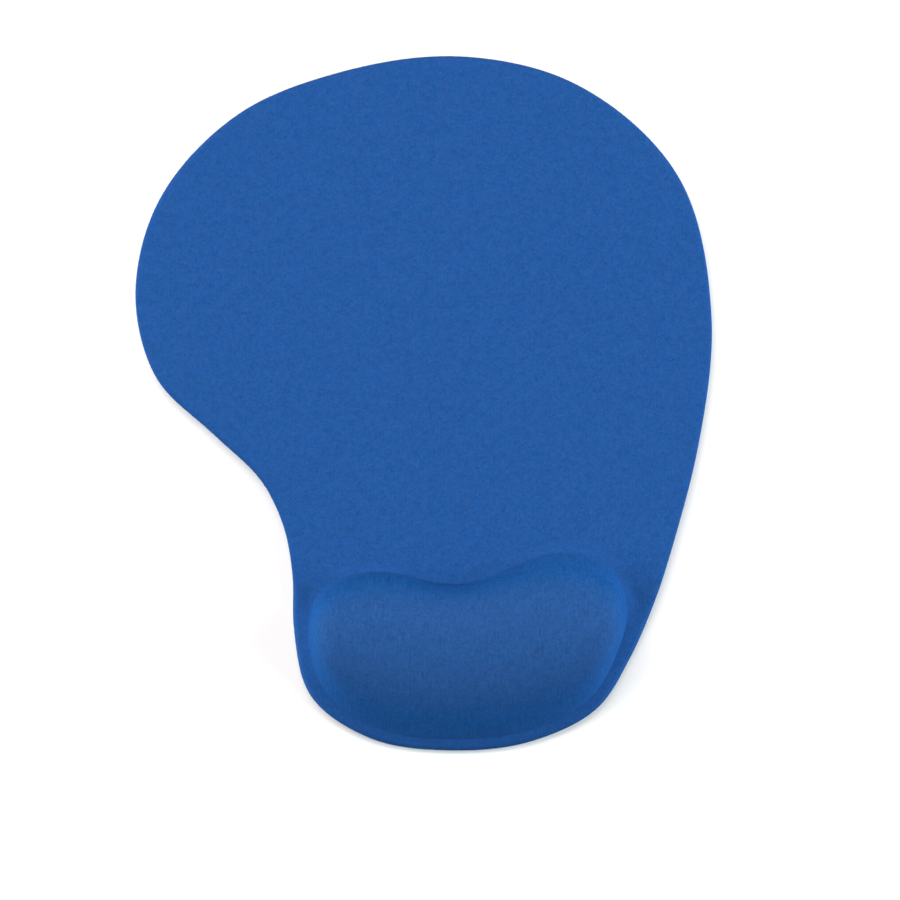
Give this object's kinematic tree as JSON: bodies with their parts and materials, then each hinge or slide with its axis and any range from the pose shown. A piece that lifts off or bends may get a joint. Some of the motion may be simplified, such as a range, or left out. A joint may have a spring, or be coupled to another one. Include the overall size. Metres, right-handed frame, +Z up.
{
  "type": "mouse mat with gel wrist rest",
  "caption": "Thin contoured mouse mat with a kidney-shaped gel wrist rest at its near end, under one stretched knit cover on a non-slip base.",
  "frame": {"origin": "on the desk, below the middle of the mat's outline", "axes": "+X to the user's right, +Y away from the user towards the mat's far edge, +Z up"},
  "size_m": [0.1908, 0.2299, 0.02],
  "materials": {
    "blue_knit": "matt stretched jersey knit",
    "clear_film": "thin polyurethane film",
    "gel": "soft translucent gel",
    "foam": "fine closed-cell foam",
    "hot_melt": "hot-melt adhesive film",
    "non_slip_base": "matt, finely textured underneath"
  },
  "bodies": {
    "root": {"base_sheet": "non_slip_base", "base_adhesive": "hot_melt", "foam_core": "foam", "top_adhesive": "hot_melt", "gel_backing_film": "clear_film", "gel_core": "gel", "cover_film": "clear_film", "fabric_cover": "blue_knit"}
  },
  "joints": []
}
